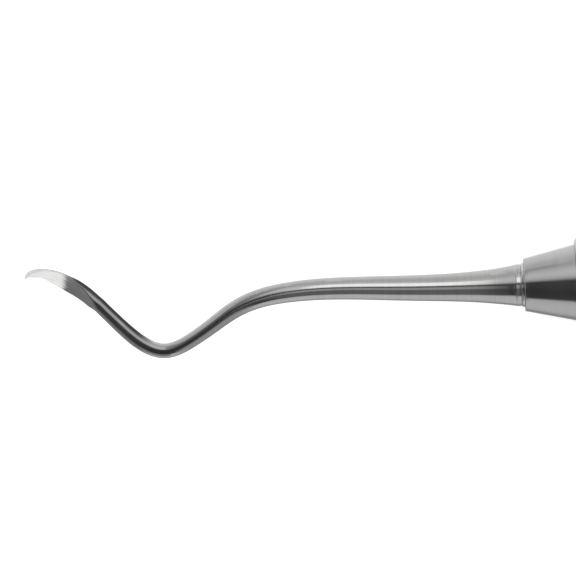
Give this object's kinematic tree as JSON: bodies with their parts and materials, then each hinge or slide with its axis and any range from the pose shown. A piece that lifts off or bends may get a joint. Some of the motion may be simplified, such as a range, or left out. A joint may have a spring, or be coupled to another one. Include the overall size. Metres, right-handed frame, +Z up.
{
  "type": "dental elevator",
  "caption": "Double-ended hand elevator with spoon blades on double-bent shanks that screw into the nose cones of a hollow handle with a flatted waist.",
  "frame": {"origin": "middle of the handle, on the handle axis, which is also the middle of the whole instrument", "axes": "+X along the handle axis towards the rear working end (the front end points to -X); +Z up, away from the flat of the waist the instrument rests on; both shanks bend in the XY plane"},
  "size_m": [0.1956, 0.0114, 0.0094],
  "materials": {
    "blade_steel": "satin polished stainless steel, longitudinally ground on the blade face",
    "ring_steel": "bright polished stainless steel",
    "cone_steel": "fine-turned satin stainless steel",
    "handle_steel": "satin stainless steel, diamond-knurled grip zones",
    "seal_rubber": "black heat-resistant elastomer"
  },
  "bodies": {
    "handle": {"handle_tube": "handle_steel", "front_nose_cone": "cone_steel", "rear_nose_cone": "cone_steel", "front_spigot_seal": "seal_rubber", "rear_spigot_seal": "seal_rubber"},
    "front_seat": {"front_seat_ring": "ring_steel"},
    "front_tip": {"front_working_end": "blade_steel"},
    "rear_seat": {"rear_seat_ring": "ring_steel"},
    "rear_tip": {"rear_working_end": "blade_steel"}
  },
  "joints": [
    {"name": "front_tip_travel", "type": "slide", "parent": "handle", "child": "front_seat", "axis": [-1, 0, 0], "range_m": [0, 0.004]},
    {"name": "front_tip_unscrew", "type": "hinge", "parent": "front_seat", "child": "front_tip", "pos_m": [-0.048, 0, 0], "axis": [-1, 0, 0], "range_deg": [0, 2880]},
    {"name": "rear_tip_travel", "type": "slide", "parent": "handle", "child": "rear_seat", "axis": [1, 0, 0], "range_m": [0, 0.004]},
    {"name": "rear_tip_unscrew", "type": "hinge", "parent": "rear_seat", "child": "rear_tip", "pos_m": [0.048, 0, 0], "axis": [1, 0, 0], "range_deg": [0, 2880]}
  ],
  "couplings": [
    {"joint": "front_tip_unscrew", "follows": "front_tip_travel", "rad_per_m": 12566},
    {"joint": "rear_tip_unscrew", "follows": "rear_tip_travel", "rad_per_m": 12566}
  ]
}
